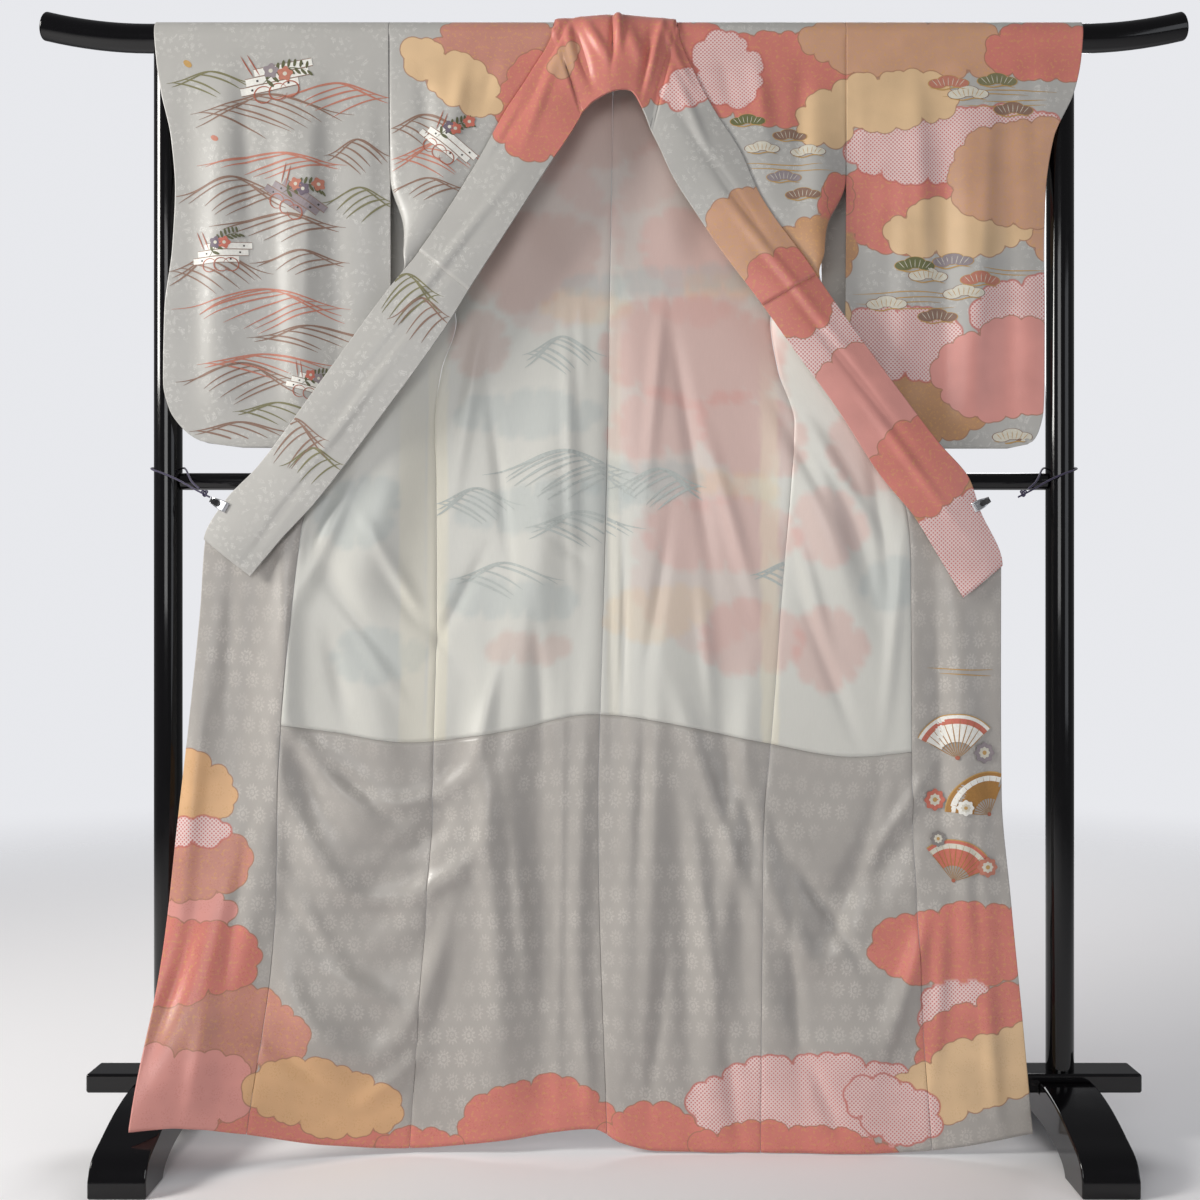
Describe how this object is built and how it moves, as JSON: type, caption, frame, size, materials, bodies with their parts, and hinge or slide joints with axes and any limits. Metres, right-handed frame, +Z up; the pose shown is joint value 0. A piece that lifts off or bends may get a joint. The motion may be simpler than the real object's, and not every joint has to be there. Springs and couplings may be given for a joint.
{
  "type": "homongi kimono on a lacquered kimono rack",
  "caption": "Women's homongi kimono hung open over the bar of a lacquered rack, fronts spread, lining to the viewer.",
  "frame": {"origin": "on the floor, at the middle of the part's box, under the middle of the rack's bar", "axes": "+Z up; +X to the right of a viewer who looks at the lining; -Y towards that viewer, the side that the fronts and collar are on"},
  "size_m": [1.6242, 0.41, 1.6031],
  "materials": {
    "figured_silk": "satin",
    "white_silk": "satin",
    "skirt_silk": "satin",
    "black_lacquer": "gloss",
    "clip_steel": "polished",
    "purple_cord": "matte"
  },
  "bodies": {
    "root": {"back_left": "figured_silk", "back_right": "figured_silk", "front_left": "figured_silk", "front_right": "figured_silk", "okumi_left": "figured_silk", "okumi_right": "figured_silk", "sleeve_left_front": "figured_silk", "sleeve_left_back": "figured_silk", "sleeve_right_front": "figured_silk", "sleeve_right_back": "figured_silk", "collar": "figured_silk", "over_collar": "figured_silk", "back_lining_left": "white_silk", "back_lining_right": "white_silk", "front_lining_left": "white_silk", "front_lining_right": "white_silk", "back_skirt_lining_left": "skirt_silk", "back_skirt_lining_right": "skirt_silk", "front_skirt_lining_left": "skirt_silk", "front_skirt_lining_right": "skirt_silk", "okumi_lining_left": "skirt_silk", "okumi_lining_right": "skirt_silk", "rack_bar": "black_lacquer", "rack_post_left": "black_lacquer", "rack_post_right": "black_lacquer", "rack_rail": "black_lacquer", "rack_beam": "black_lacquer", "rack_foot_left": "black_lacquer", "rack_foot_right": "black_lacquer", "clip_left": "clip_steel", "clip_right": "clip_steel", "tie_left": "purple_cord", "tie_right": "purple_cord"}
  },
  "joints": []
}
